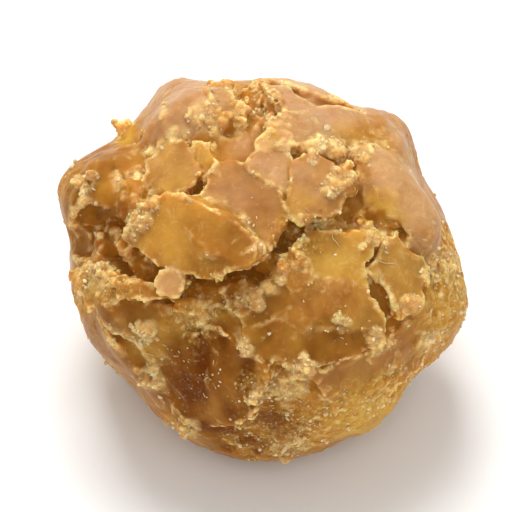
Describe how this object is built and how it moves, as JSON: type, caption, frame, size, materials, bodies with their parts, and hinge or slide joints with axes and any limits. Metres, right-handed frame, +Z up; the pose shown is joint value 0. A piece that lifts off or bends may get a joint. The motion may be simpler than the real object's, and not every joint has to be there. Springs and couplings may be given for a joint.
{
  "type": "jaggery lump",
  "caption": "Rough broken lump of jaggery with boulders, overhanging plates, crevices and a small flat spot that it rests on.",
  "frame": {"origin": "centre of the bounding box, on the surface that the lump rests on", "axes": "+Z up; -Y is the front, where the broken face looks forwards and up; +X to the right of someone looking at that face"},
  "size_m": [0.0646, 0.0599, 0.0568],
  "materials": {
    "jaggery": null
  },
  "bodies": {
    "root": {"jaggery_lump": "jaggery"}
  },
  "joints": []
}
